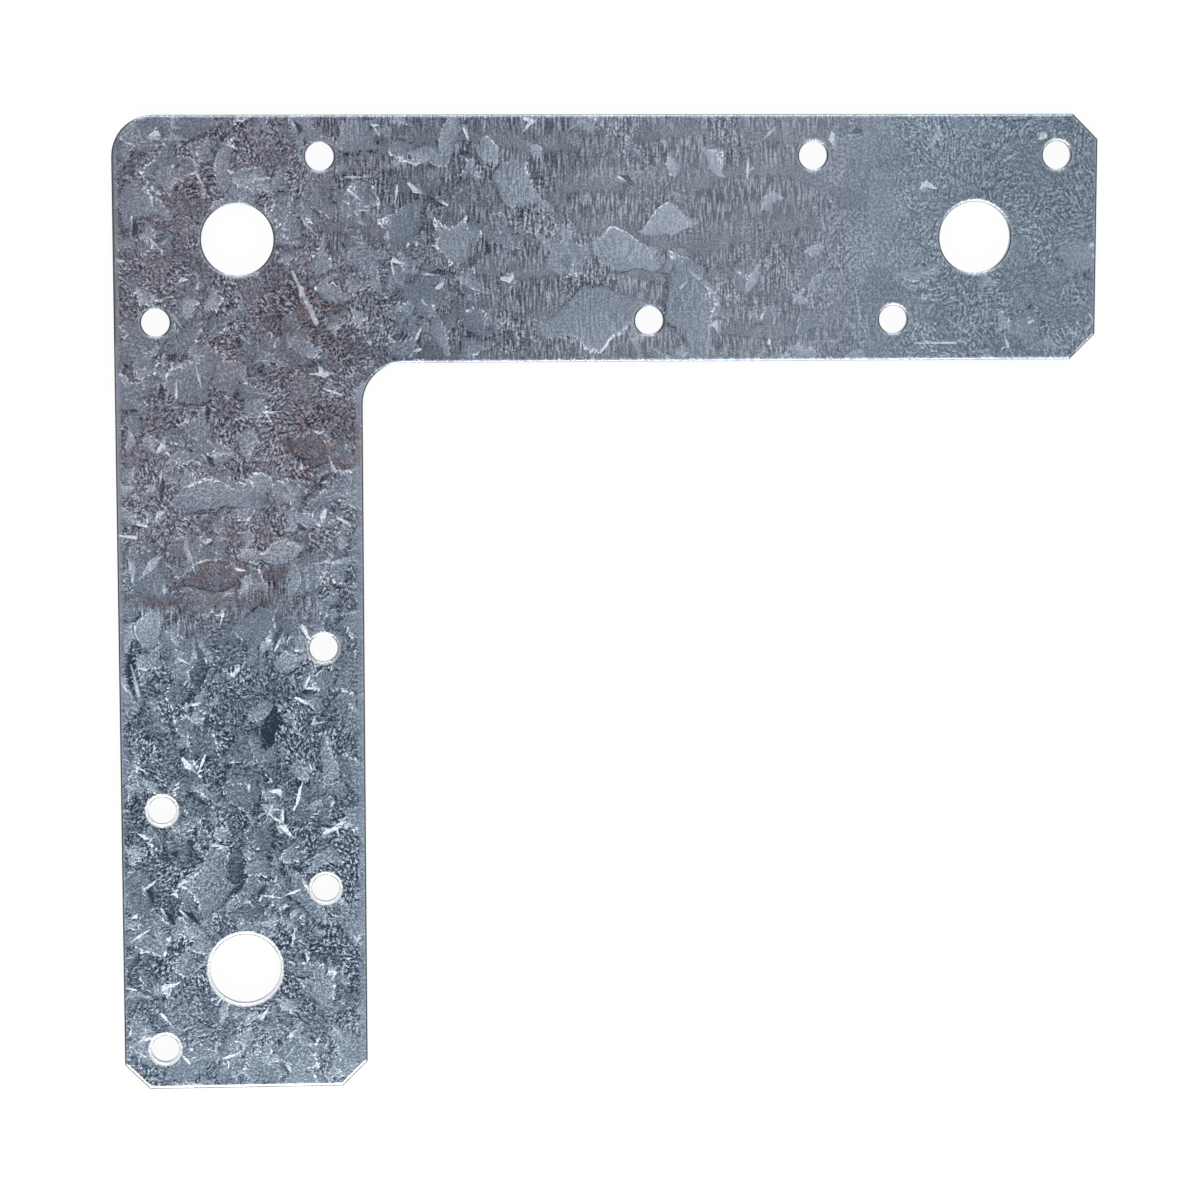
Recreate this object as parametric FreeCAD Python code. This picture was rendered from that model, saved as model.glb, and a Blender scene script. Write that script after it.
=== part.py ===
import FreeCAD, Part
import os
from math import atan, cos, sin

# Flat L strap: one blank of galvanised sheet steel with two equal legs, punched for bolts and nails.
# The origin is the centre of the corner bolt hole on the back face. One leg runs along +X, the other
# along -Y, and +Z points out of the front face. The strap lies on its back face. Lengths are in mm.

# Blank
LEG_LENGTH = 152.4
LEG_WIDTH = 38.1
SHEET_THICKNESS = 1.9
OUTER_CORNER_RADIUS = 6.35
INNER_CORNER_RADIUS = 6.35
END_CHAMFER = 3.9

# Bolt holes, on the centre lines of the legs
BOLT_HOLE_DIAMETER = 11.11
BOLT_END_DISTANCE = 19.05

# Nail holes, in an outer and an inner row on each leg
NAIL_HOLE_DIAMETER = 4.37
NAIL_EDGE_DISTANCE = 6.35
NAIL_END_DISTANCE = 6.35
NAIL_PITCH = 38.1
NAIL_STAGGER = 25.4

# Section of a punched edge, in shares of the sheet's thickness, because it grows with the sheet:
# the front rim rolls over, the land below it is sheared straight, and the rest breaks away to the back
ROLL_WIDTH_SHARE = 0.32
ROLL_DEPTH_SHARE = 0.13
BREAK_HEIGHT_SHARE = 0.45
BREAK_WIDTH_SHARE = 0.06

# Values worked out from those above
HALF_WIDTH = LEG_WIDTH / 2
LEG_END = LEG_LENGTH - HALF_WIDTH
NAIL_ROW = HALF_WIDTH - NAIL_EDGE_DISTANCE
ROLL_WIDTH = ROLL_WIDTH_SHARE * SHEET_THICKNESS
ROLL_DEPTH = ROLL_DEPTH_SHARE * SHEET_THICKNESS
BREAK_HEIGHT = BREAK_HEIGHT_SHARE * SHEET_THICKNESS
BREAK_WIDTH = BREAK_WIDTH_SHARE * SHEET_THICKNESS

# Directions and plain constants
UP = FreeCAD.Vector(0, 0, 1)
TO_OUTER_EDGE = FreeCAD.Vector(0, 1, 0)
TO_HOLE_AXIS = FreeCAD.Vector(-1, 0, 0)
FULL_TURN = 360
MITRED_CORNERS = 1
SAME_PLACE = 1e-6


def on_other_leg(places):
    """Mirror places on the +X leg across the strap's diagonal, on to the -Y leg."""
    return [(-y, -x) for x, y in places]


def bolt_places():
    """The corner bolt hole, and one near the end of each leg."""
    leg_bolt = [(LEG_END - BOLT_END_DISTANCE, 0)]
    return [(0, 0)] + leg_bolt + on_other_leg(leg_bolt)


def nail_places():
    """One hole beside the corner and two staggered pairs towards the end, on each leg."""
    leg_nails = [(NAIL_ROW, NAIL_ROW)]
    end_nail = LEG_END - NAIL_END_DISTANCE
    for step in (0, NAIL_PITCH):
        leg_nails.append((end_nail - step, NAIL_ROW))
        leg_nails.append((end_nail - NAIL_STAGGER - step, -NAIL_ROW))
    return leg_nails + on_other_leg(leg_nails)


def upright_edges(blank, corners):
    """The blank's edges that stand at the given corners."""
    points = [Part.Vertex(x, y, SHEET_THICKNESS / 2) for x, y in corners]
    return [edge for edge in blank.Edges
            if any(edge.distToShape(point)[0] < SAME_PLACE for point in points)]


def square_blank():
    """The L with square walls, its two corners rounded and its leg ends clipped."""
    outer_corner = (-HALF_WIDTH, HALF_WIDTH)
    inner_corner = (HALF_WIDTH, -HALF_WIDTH)
    x_leg_end = [(LEG_END, HALF_WIDTH), (LEG_END, -HALF_WIDTH)]
    y_leg_end = on_other_leg(x_leg_end)
    corners = [outer_corner] + x_leg_end + [inner_corner] + y_leg_end[::-1] + [outer_corner]
    outline = Part.makePolygon([FreeCAD.Vector(x, y, 0) for x, y in corners])
    blank = Part.Face(outline).extrude(UP * SHEET_THICKNESS)
    blank = blank.makeFillet(OUTER_CORNER_RADIUS, upright_edges(blank, [outer_corner]))
    blank = blank.makeFillet(INNER_CORNER_RADIUS, upright_edges(blank, [inner_corner]))
    return blank.makeChamfer(END_CHAMFER, upright_edges(blank, x_leg_end + y_leg_end))


def waste_section(foot, outward, width):
    """What the tool takes away beside a punched edge, in section.

    foot lies under the straight land, on the back face, and outward points from it into the waste.
    """
    half_turn = atan(ROLL_DEPTH / ROLL_WIDTH)
    roll_radius = ROLL_WIDTH / sin(2 * half_turn)

    def point(out, height):
        return foot + outward * out + UP * height

    roll_start = point(-ROLL_WIDTH, SHEET_THICKNESS)
    roll_middle = point(
        roll_radius * sin(half_turn) - ROLL_WIDTH,
        SHEET_THICKNESS - roll_radius * (1 - cos(half_turn)),
    )
    land_top = point(0, SHEET_THICKNESS - ROLL_DEPTH)
    land_foot = point(0, BREAK_HEIGHT)
    break_end = point(-BREAK_WIDTH, 0)
    far_side = [point(width, 0), point(width, SHEET_THICKNESS)]
    corners = [land_top, land_foot, break_end] + far_side + [roll_start]
    edges = [Part.Arc(roll_start, roll_middle, land_top).toShape()]
    edges += [Part.makeLine(a, b) for a, b in zip(corners, corners[1:])]
    return Part.Wire(edges)


def edge_trim(blank):
    """The waste all round the blank: one section carried along the outline, mitred at the clipped ends."""
    back_face = min(blank.Faces, key=lambda face: face.CenterOfMass.z)
    foot = TO_OUTER_EDGE * HALF_WIDTH
    sweep = Part.BRepOffsetAPI.MakePipeShell(back_face.OuterWire)
    sweep.setBiNormalMode(UP)
    sweep.setTransitionMode(MITRED_CORNERS)
    sweep.add(waste_section(foot, TO_OUTER_EDGE, SHEET_THICKNESS), False, False)
    sweep.build()
    sweep.makeSolid()
    return sweep.shape()


def slug(diameter, x, y):
    """The waste of one round hole: the same section turned about the hole's axis."""
    axis_foot = FreeCAD.Vector(x, y, 0)
    radius = diameter / 2
    section = waste_section(axis_foot - TO_HOLE_AXIS * radius, TO_HOLE_AXIS, radius)
    return Part.Face(section).revolve(axis_foot, UP, FULL_TURN)


def l_strap():
    """The finished strap, with its punched edge round the outline and in every hole."""
    blank = square_blank()
    waste = [edge_trim(blank)]
    waste += [slug(BOLT_HOLE_DIAMETER, x, y) for x, y in bolt_places()]
    waste += [slug(NAIL_HOLE_DIAMETER, x, y) for x, y in nail_places()]
    return blank.cut(waste)


strap = l_strap()
print("solids", len(strap.Solids), "valid", strap.isValid(), "volume mm3", round(strap.Volume, 2))
os.makedirs("parts", exist_ok=True)
strap.exportStep("parts/l_strap.step")
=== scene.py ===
"""Looks of a flat L strap: galvanised sheet with its spangle, cut edges and marks of handling.

The file is laid out as an add-on and run as a script. The strap itself is the loaded frame, which keeps
its shape and place. Lengths on the sheet are in millimetres and the scene is in metres.
"""
from math import cos, pi, radians, sin
from types import SimpleNamespace
from typing import NamedTuple

import bpy
from bpy.props import FloatProperty, FloatVectorProperty, PointerProperty
from mathutils import Matrix, Vector


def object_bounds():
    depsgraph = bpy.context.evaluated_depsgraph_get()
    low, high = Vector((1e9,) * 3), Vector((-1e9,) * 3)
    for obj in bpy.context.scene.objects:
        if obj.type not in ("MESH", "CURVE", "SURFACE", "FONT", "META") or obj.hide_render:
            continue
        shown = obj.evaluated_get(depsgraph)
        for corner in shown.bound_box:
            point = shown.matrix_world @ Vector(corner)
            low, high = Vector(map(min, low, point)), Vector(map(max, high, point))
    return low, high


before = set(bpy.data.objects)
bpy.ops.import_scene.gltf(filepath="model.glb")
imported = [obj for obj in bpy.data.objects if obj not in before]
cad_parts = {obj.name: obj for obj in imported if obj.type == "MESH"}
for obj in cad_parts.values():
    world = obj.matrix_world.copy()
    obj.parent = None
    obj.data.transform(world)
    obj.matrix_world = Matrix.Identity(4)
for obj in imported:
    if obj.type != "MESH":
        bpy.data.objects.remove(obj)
CAD_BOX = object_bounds()

bl_info = {
    "name": "L Strap Looks",
    "version": (1, 0, 0),
    "blender": (4, 5, 0),
    "location": "3D View > Sidebar > L Strap",
    "description": "Galvanised finish and stage for a flat L strap",
    "category": "Material",
}

STRAP_NODE = "l_strap"
MM = 0.001
STRAP_LENGTH = CAD_BOX[1].x - CAD_BOX[0].x

WHITE = (1.0, 1.0, 1.0)
# Sizes of the stage, in lengths of the strap
FLOOR_REACH = 12
LIGHT_LENGTH = 4
LIGHT_WIDTH = 1.2
LIGHT_DISTANCE = 3
LIGHT_HEIGHT = 1.2
# How far the floor shows plain white; the rest of it takes the strap's shadow
FLOOR_WHITENESS = 0.93

# How far the back face's spangle lies from the front's, and one layer of leaves from the next, in mm
BACK_SHIFT = (310.0, 170.0, 0.0)
LAYER_SHIFT = (37.3, 61.7, 0.0)

# How sharp the leaves' tips are, where 1 gives straight sides and less gives hollow ones, the distance
# from one tooth of a leaf's edge to the next, in mm, and how far the teeth lean to the tip
LEAF_POINT = 0.74
TOOTH_PITCH = 1.0
TOOTH_LEAN = 0.7
# How far in mm a large leaf's outline shifts with the tone below it, and the tone at which it stays
# in place
LEAF_SHIFT = 1.5
UNMOVED_TONE = 0.5
# Tone below which a large leaf takes the brown tints
DARK_LEAF = 0.45

# Tones of the zinc, from 0 for black to 1 for white. The contrast changes about the still tone
GROUND_TONE = 0.375
STILL_TONE = 0.45
MIDDLE_TONE = 0.453
LEVEL_BAND_TONE = 0.42
EDGE_BAND_TONE = 0.54
SCRATCH_TONE = 0.80
# How far the plain bands along the edges hide the spangle
EDGE_BAND_COVER = 0.7
# How far the tone spreads: from grain to grain, with the ground's texture, with that texture on a leaf,
# with specks, and over a large leaf with its painted shading
GRAIN_SPREAD = 0.085
TEXTURE_SPREAD = 0.108
GRAZE_SPREAD = 0.04
SPECK_SPREAD = 0.05
LARGE_LEAF_SPREAD = 0.08

# Roughness of the ground between the leaves, of the leaves, of the rims and of the two parts of a wall
GROUND_ROUGH = 0.42
LEAF_ROUGH = 0.5
RIM_ROUGH = 0.3
LAND_ROUGH = 0.42
TORN_ROUGH = 0.6

# Spans of the surface's facing: 1 on the front face, less along the rolled rim, 0 on the smooth land of a
# wall, below 0 on the torn part and -1 on the back face
ROLL_STARTS = (0.998, 0.96)
ROLL_ENDS = (0.55, 0.6)
# The brinks lay a dark line of painted shade on the outer part of the rims, wider on rims that lean
# sideways and next to the painted highlights
SIDE_BRINK = (0.92, 0.84)
END_BRINK = (0.90, 0.83)
BRINK = (0.82, 0.76)
WALL_STARTS = (0.7, 0.6)
LAND_STARTS = (0.6, 0.4)
LAND_ENDS = (-0.10, -0.04)
# Spans of a rim's lean: away from the light, and to either side
LEANS_AWAY = (-0.1, -0.35)
LEANS_SIDEWAYS = (0.15, 0.4)

# Marks of handling on the front face: start, end and width in mm from the corner bolt hole, and strength
SCRATCHES = {
    "drag beside the corner bolt hole": ((8.4, -4.9), (12.0, -12.8), 0.58, 0.80),
    "light drag above the corner bolt hole": ((-7.0, 14.6), (-5.0, 6.6), 0.56, 0.48),
    "nick at the inner edge of the x leg": ((105.4, -16.4), (111.4, -16.4), 0.26, 0.90),
    "nick at the end of the x leg": ((129.1, -15.0), (130.3, -15.0), 0.30, 0.65),
    "nick at the outer edge of the y leg": ((-18.8, -45.6), (-16.2, -45.9), 0.42, 1.0),
    "slash at the outer edge of the y leg": ((-17.2, -65.8), (-16.0, -70.5), 0.42, 0.75),
    "short line in the x leg": ((90.2, 3.7), (90.8, 1.1), 0.26, 0.50),
    "long line in the x leg": ((95.7, -8.0), (96.4, -12.6), 0.24, 0.50),
    "line below the x leg bolt hole": ((112.5, -7.7), (113.0, -9.7), 0.24, 0.45),
    "line near the end of the x leg": ((116.3, -9.8), (116.3, -12.4), 0.24, 0.45),
}

# Brown tints of the zinc: middle and half widths, in mm from the corner bolt hole
TINTS = {
    "above the corner bolt hole": ((-8.6, 8.8), (4.0, 3.0)),
    "below the corner bolt hole": ((10.5, -13.5), (8.0, 8.0)),
    "top of the y leg": ((12.6, -31.2), (7.0, 8.0)),
    "beside the outer edge": ((-1.6, -19.2), (4.0, 3.5)),
    "middle of the y leg": ((-2.0, -50.0), (12.0, 7.0)),
    "level band of the y leg": ((-5.0, -55.8), (12.0, 2.0)),
}


class Step(NamedTuple):
    """A soft step of a value along one leg."""

    leg: str
    """The leg that it runs along, x or y"""
    span: tuple
    """Where it starts and ends, in mm from the corner bolt hole"""
    values: tuple = (0.0, 1.0)
    """The value before it and after it"""


# Spans along a leg, in mm from the corner bolt hole
LOWER_LEG = (-48.0, -85.0)
Y_LEG_END = (-112.0, -126.0)
X_LEG = (24.0, 36.0)
CALM_X_END = (104.0, 84.0)
WARM_UPPER_LEG = (-78.0, -30.0)
# The same, for the rims with a painted highlight
HIGHLIT_X_LEG = (78.0, 100.0)
HIGHLIT_Y_END = (-129.0, -129.6)
# Inside the long edges of a leg, in mm from its middle line
INSIDE_LEG = (18.2, 17.4)

# Steps that add up
CONTRAST = (
    Step("y", (-40.0, -80.0), (-0.04, 0.38)),
    Step("x", (30.0, 95.0), (0.0, -0.30)),
    Step("y", Y_LEG_END, (0.0, -0.38)),
)
LIGHTNESS = (
    Step("x", (28.0, 62.0), (0.0, 0.077)),
    Step("x", (68.0, 92.0), (0.0, 0.02)),
    Step("x", (104.0, 120.0), (0.0, -0.03)),
    Step("y", (-27.0, -40.0), (-0.02, 0.005)),
    Step("y", LOWER_LEG, (0.0, -0.060)),
    Step("y", Y_LEG_END, (0.0, 0.085)),
)
LIVELY = (
    Step("y", LOWER_LEG, (0.0, 0.4)),
    Step("x", (24.0, 60.0), (0.6, 0.25)),
)
WARM_ALONG_X = (
    Step("x", (112.0, 78.0), (0.0, 0.5)),
    Step("x", (30.0, 0.0), (0.0, 0.5)),
)

# Steps that multiply
LEAFY = (
    Step("x", (22.0, 45.0), (1.0, 0.25)),
)
BESIDE_BOLT = (
    Step("x", (9.0, 15.0)),
    Step("y", (-5.0, 1.0)),
)
LEVEL_ROW = (
    Step("y", (-44.0, -52.0)),
    Step("y", (-68.0, -60.0)),
)
LEVEL_BAND = (
    Step("y", (-53.8, -55.0)),
    Step("y", (-57.6, -56.8)),
    Step("x", (19.0, 15.0)),
    Step("x", (13.0, 5.0), (0.2, 0.65)),
)
OUTER_BAND = (
    Step("x", (-18.0, -18.4)),
    Step("y", (-60.0, -85.0), (1.0, 0.3)),
)
INNER_BAND = (
    Step("x", (17.7, 18.1)),
    Step("y", (-21.0, -24.0)),
)
# Where the rims that lean away from the light carry painted shade
PAINTED_SHADE_RIMS = (
    Step("y", (-17.0, -15.0)),
    Step("x", (100.0, 78.0)),
)
HOLES_OF_Y_LEG = (
    Step("y", (-129.42, -129.27)),
    Step("y", INSIDE_LEG),
)
HOLES_OF_X_LEG = (
    Step("x", (129.42, 129.27)),
    Step("x", (-18.2, -17.4)),
)


class Leaves(NamedTuple):
    """One layer of the spangle, with at most one leaf in each of its cells."""

    size: float
    """Width of a cell in mm"""
    reach: tuple
    """How far a leaf reaches along and across, as a share of its cell"""
    share: float
    """Share of the cells that hold a leaf"""
    turn: float
    """How far a leaf turns from its neighbours, in whole turns"""
    tones: tuple
    """Darkest and palest tone"""
    barbs: tuple = (0.0, 0.0)
    """How close the barbs along a leaf lie, and their strength"""
    teeth: float = 0.0
    """Depth of the teeth along a leaf's edge, as a share of its width"""


BROAD_LEAVES = (
    Leaves(8.8, (1.0, 0.52), 0.66, 1.0, (0.44, 0.54), (21.0, 0.2), 0.13),
    Leaves(5.8, (1.0, 0.42), 0.50, 1.0, (0.435, 0.56), (14.0, 0.2), 0.20),
    Leaves(3.6, (0.95, 0.46), 0.34, 1.0, (0.43, 0.60), (9.0, 0.2), 0.25),
)
SLASHES = Leaves(3.6, (0.80, 0.30), 0.18, 0.5, (0.26, 0.78), (7.0, 0.55))
SLIVERS = Leaves(3.4, (0.85, 0.085), 0.13, 0.4, (0.54, 0.84))


class LargeLeaf(NamedTuple):
    """A leaf with a place of its own on the front face."""

    middle: tuple
    """Place in mm from the corner bolt hole"""
    reach: tuple
    """How far it reaches along and across, in mm"""
    turn: float
    """Which way its tip points, in degrees from the x leg"""
    point: float
    """How sharp its tips are: 1 gives straight sides, less gives hollow ones and more gives round ones"""
    tone: float
    """Tone of its blade"""


LARGE_LEAVES = {
    "bar at the outer edge": LargeLeaf((32.8, 15.8), (3.4, 1.3), 90, 1.5, 0.55),
    "foot of the bar": LargeLeaf((29.7, 12.4), (3.2, 1.6), 185, 1.4, 0.55),
    "oval in the x leg": LargeLeaf((38.6, 13.2), (2.9, 1.9), -60, 1.4, 0.57),
    "small leaf beside the oval": LargeLeaf((45.8, 12.6), (2.3, 1.1), -50, 1.2, 0.60),
    "drop": LargeLeaf((66.5, 11.4), (2.1, 1.4), 95, 1.3, 0.60),
    "spread leaf in the x leg": LargeLeaf((66.5, 2.1), (4.8, 3.1), 10, 0.85, 0.575),
    "star in the x leg": LargeLeaf((73.5, 11.7), (3.4, 2.1), -50, 0.75, 0.60),
    "dome in the x leg": LargeLeaf((59.7, -2.5), (6.0, 3.4), -20, 1.5, 0.525),
    "field left of a nail hole": LargeLeaf((54.5, -12.4), (9.5, 6.6), 195, 0.92, 0.485),
    "field right of a nail hole": LargeLeaf((70.0, -11.4), (9.0, 6.0), -75, 0.95, 0.475),
    "far leaf of the x leg": LargeLeaf((79.2, -6.2), (2.6, 1.6), 60, 0.9, 0.57),
    "above the corner bolt hole": LargeLeaf((-1.9, 10.4), (3.6, 2.1), 80, 1.3, 0.53),
    "block at the top of the y leg": LargeLeaf((-7.0, -21.7), (4.8, 4.6), 45, 1.2, 0.485),
    "brown leaf at the inner edge": LargeLeaf((12.0, -32.5), (5.6, 3.8), -20, 0.95, 0.43),
    "pear in the y leg": LargeLeaf((1.1, -31.9), (3.0, 1.8), -70, 1.2, 0.54),
    "broad leaf of the y leg": LargeLeaf((-4.3, -39.8), (8.4, 3.8), 10, 0.9, 0.51),
    "brown leaf in the y leg": LargeLeaf((-4.5, -52.0), (6.4, 3.4), 10, 0.9, 0.42),
    "cloud": LargeLeaf((6.1, -48.3), (4.2, 1.8), 10, 1.3, 0.54),
    "post in the y leg": LargeLeaf((7.6, -53.0), (4.2, 1.3), -90, 1.5, 0.53),
    "candle": LargeLeaf((-7.7, -49.1), (3.4, 0.8), -75, 0.9, 0.63),
    "at the outer edge of the y leg": LargeLeaf((-14.0, -59.9), (3.6, 2.2), 70, 1.1, 0.55),
    "dark upright leaf": LargeLeaf((-6.7, -66.5), (4.4, 1.9), 90, 1.0, 0.38),
    "darkest leaf": LargeLeaf((4.4, -75.2), (3.2, 1.1), 85, 1.6, 0.28),
    "sliver at the outer edge": LargeLeaf((-17.0, -50.5), (3.0, 0.7), -75, 1.0, 0.63),
    "sliver beside it": LargeLeaf((-13.7, -50.9), (2.4, 0.7), 35, 1.0, 0.63),
    "level sliver": LargeLeaf((-3.4, -33.0), (2.4, 0.35), 5, 1.0, 0.68),
    "level sliver at the inner edge": LargeLeaf((14.7, -50.3), (3.8, 0.4), 0, 1.0, 0.66),
    "dark sliver at the outer edge": LargeLeaf((-17.3, -67.5), (4.4, 0.8), -75, 1.0, 0.28),
    "needle": LargeLeaf((8.5, -87.1), (2.6, 0.45), 75, 1.0, 0.80),
    "at the inner edge of the y leg": LargeLeaf((13.0, -81.1), (3.6, 1.5), -85, 1.4, 0.54),
    "dark tall leaf": LargeLeaf((-1.6, -98.1), (4.0, 2.2), 90, 1.4, 0.39),
    "star in the lower leg": LargeLeaf((-5.3, -100.7), (7.2, 6.0), 90, 0.72, 0.52),
    "long leaf of the lower leg": LargeLeaf((10.0, -103.7), (6.2, 2.4), -50, 1.1, 0.52),
    "beside the lower bolt hole": LargeLeaf((-7.1, -109.3), (4.8, 2.0), 130, 0.95, 0.54),
}


class LSTRAP_PG_zinc(bpy.types.PropertyGroup):
    """Sizes and colours of the galvanised sheet"""

    grain_size: FloatProperty(
        name="Grain Size",
        description="Width of a dark grain between the leaves, in mm",
        default=3.6,
        min=0.5,
    )
    row_pitch: FloatProperty(
        name="Row Pitch",
        description="Distance from one row of upright strokes to the next, in mm",
        default=6.8,
        min=0.5,
    )
    dark_colour: FloatVectorProperty(
        name="Dark Zinc",
        description="Colour of the darkest grains",
        subtype="COLOR",
        size=3,
        default=(0.026, 0.038, 0.060),
        min=0.0,
        max=1.0,
    )
    middle_colour: FloatVectorProperty(
        name="Middle Zinc",
        description="Colour of most of the sheet",
        subtype="COLOR",
        size=3,
        default=(0.165, 0.205, 0.258),
        min=0.0,
        max=1.0,
    )
    pale_colour: FloatVectorProperty(
        name="Pale Zinc",
        description="Colour of the palest leaves",
        subtype="COLOR",
        size=3,
        default=(0.347, 0.407, 0.485),
        min=0.0,
        max=1.0,
    )
    bright_colour: FloatVectorProperty(
        name="Bright Zinc",
        description="Colour of flakes and fresh scratches",
        subtype="COLOR",
        size=3,
        default=(0.745, 0.791, 0.839),
        min=0.0,
        max=1.0,
    )
    tint_colour: FloatVectorProperty(
        name="Brown Tint",
        description="What the brown tints among the dark grains multiply the zinc by",
        subtype="COLOR",
        size=3,
        default=(0.88, 0.75, 0.71),
        min=0.0,
        max=2.0,
    )
    warm_cast: FloatVectorProperty(
        name="Warm Cast",
        description="What the warm cast of the upper part multiplies the zinc by",
        subtype="COLOR",
        size=3,
        default=(1.17, 0.935, 0.90),
        min=0.0,
        max=2.0,
    )
    # Colour of the painted highlight on the rims of the lower leg, the end of the y leg and the far holes
    painted_highlight_colour: FloatVectorProperty(
        name="Rubbed Zinc",
        description="Colour of the rims that are rubbed bright",
        subtype="COLOR",
        size=3,
        default=(0.92, 0.92, 0.93),
        min=0.0,
        max=1.0,
    )
    # Also the colour of the painted shade along the rims' brinks and on rims that lean away from the
    # light
    cut_steel_and_shade_colour: FloatVectorProperty(
        name="Cut Steel",
        description="Colour of the torn lower part of the walls",
        subtype="COLOR",
        size=3,
        default=(0.065, 0.068, 0.075),
        min=0.0,
        max=1.0,
    )
    land_colour: FloatVectorProperty(
        name="Sheared Land",
        description="Colour of the smooth upper part of the walls",
        subtype="COLOR",
        size=3,
        default=(0.170, 0.178, 0.192),
        min=0.0,
        max=1.0,
    )
    relief: FloatProperty(
        name="Relief",
        description="Height of the spangle's relief",
        default=0.00003,
        min=0.0,
        unit="LENGTH",
        precision=6,
    )


class LSTRAP_PG_stage(bpy.types.PropertyGroup):
    """Floor, lights and camera"""

    floor_colour: FloatVectorProperty(
        name="Floor",
        description="Colour of the floor",
        subtype="COLOR",
        size=3,
        default=(0.9, 0.9, 0.9),
        min=0.0,
        max=1.0,
    )
    sky_light: FloatProperty(
        name="Sky Light",
        description="Strength of the even light from all round",
        default=0.93,
        min=0.0,
    )
    top_light: FloatProperty(
        name="Top Light",
        description="Power of the long light beyond the top of the picture",
        default=1.2,
        min=0.0,
        unit="POWER",
    )
    bottom_light: FloatProperty(
        name="Bottom Light",
        description="Power of the long light beyond the bottom of the picture",
        default=2.8,
        min=0.0,
        unit="POWER",
    )
    camera_place: FloatVectorProperty(
        name="Camera Place",
        description="Where the camera stands",
        subtype="TRANSLATION",
        size=3,
        default=(0.00945, 0.02895, 0.6418),
    )
    camera_aim: FloatVectorProperty(
        name="Camera Aim",
        description="What the camera looks at",
        subtype="TRANSLATION",
        size=3,
        default=(0.05584, -0.05632, 0.0019),
    )
    camera_lens: FloatProperty(
        name="Camera Lens",
        description="Focal length of the camera",
        default=124.26,
        min=1.0,
        unit="CAMERA",
    )


class NodeBench:
    """Lays nodes into one tree. A value is set on its socket, and a socket is linked to it."""

    COLUMNS = 10
    STEP = Vector((190, -240))

    def __init__(self, tree):
        self.tree = tree
        self.count = 0

    def node(self, kind, values=None, **settings):
        """Add a node, apply its settings and feed its inputs."""
        made = self.tree.nodes.new(kind)
        row, column = divmod(self.count, self.COLUMNS)
        made.location = (column * self.STEP.x, row * self.STEP.y)
        self.count += 1
        for name, setting in settings.items():
            setattr(made, name, setting)
        for name, value in (values or {}).items():
            self.feed(made.inputs[name], value)
        return made

    def feed(self, socket, value):
        """Set a socket to a value, or link it to another socket."""
        if isinstance(value, bpy.types.NodeSocket):
            self.tree.links.new(value, socket)
        else:
            socket.default_value = value

    def math(self, operation, first, second=0.0, clamp=False):
        """One step of arithmetic."""
        values = {0: first, 1: second}
        return self.node("ShaderNodeMath", values, operation=operation, use_clamp=clamp).outputs[0]

    def vector(self, operation, first, second=(0.0, 0.0, 0.0)):
        """One step of arithmetic on vectors; a length or a dot product comes out as a number."""
        made = self.node("ShaderNodeVectorMath", {0: first, 1: second}, operation=operation)
        return made.outputs["Value" if operation in ("LENGTH", "DOT_PRODUCT") else "Vector"]

    def scaled(self, vector, factor):
        """A vector times a number."""
        values = {"Vector": vector, "Scale": factor}
        return self.node("ShaderNodeVectorMath", values, operation="SCALE").outputs["Vector"]

    def ramp(self, value, low, high, to_low=0.0, to_high=1.0):
        """A smooth step from one value to another."""
        values = {"Value": value, "From Min": low, "From Max": high, "To Min": to_low, "To Max": to_high}
        return self.node("ShaderNodeMapRange", values, interpolation_type="SMOOTHSTEP").outputs["Result"]

    def mix(self, factor, first, second):
        """A number between two numbers."""
        return self.node("ShaderNodeMix", {0: factor, 2: first, 3: second}, data_type="FLOAT").outputs[0]

    def mix_colour(self, factor, first, second):
        """A colour between two colours."""
        return self.node("ShaderNodeMix", {0: factor, 6: first, 7: second}, data_type="RGBA").outputs[2]

    def multiplied(self, factor, colour, other):
        """A colour multiplied by another, as far as the factor says."""
        values = {0: factor, 6: colour, 7: opaque(other)}
        return self.node("ShaderNodeMix", values, data_type="RGBA", blend_type="MULTIPLY").outputs[2]

    def turned(self, vector, angle):
        """A vector turned in the plane of the sheet."""
        values = {"Vector": vector, "Angle": angle}
        return self.node("ShaderNodeVectorRotate", values, rotation_type="Z_AXIS").outputs["Vector"]

    def noise(self, vector, scale, detail=2.0, roughness=0.5):
        """Plane noise, as a number and as a colour."""
        values = {"Vector": vector, "Scale": scale, "Detail": detail, "Roughness": roughness}
        made = self.node("ShaderNodeTexNoise", values, noise_dimensions="2D")
        return made.outputs["Fac"], made.outputs["Color"]

    def cells(self, vector, scale):
        """Plane cells: outputs with a random colour for each cell and its middle."""
        values = {"Vector": vector, "Scale": scale}
        return self.node("ShaderNodeTexVoronoi", values, voronoi_dimensions="2D").outputs

    def hardened(self, value, reach):
        """A value about 0.5 pushed towards -1 and 1."""
        above = self.ramp(value, 0.5, 0.5 + reach)
        below = self.ramp(value, 0.5, 0.5 - reach)
        return self.math("SUBTRACT", above, below)

    def times(self, first, *others):
        """The product of two or more numbers."""
        for other in others:
            first = self.math("MULTIPLY", first, other)
        return first

    def times_plus(self, first, second, third):
        """The product of two numbers, and a third number on top."""
        values = {0: first, 1: second, 2: third}
        return self.node("ShaderNodeMath", values, operation="MULTIPLY_ADD").outputs[0]

    def plus(self, first, *others):
        """The sum of two or more numbers."""
        for other in others:
            first = self.math("ADD", first, other)
        return first

    def parts(self, colour):
        """The three channels of a colour or vector."""
        return self.node("ShaderNodeSeparateXYZ", {0: colour}).outputs[:]

    def group(self, tree, values):
        """Place a node group and feed its named inputs."""
        made = self.node("ShaderNodeGroup", node_tree=tree)
        for name, value in values.items():
            self.feed(made.inputs[name], value)
        return made.outputs


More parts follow.
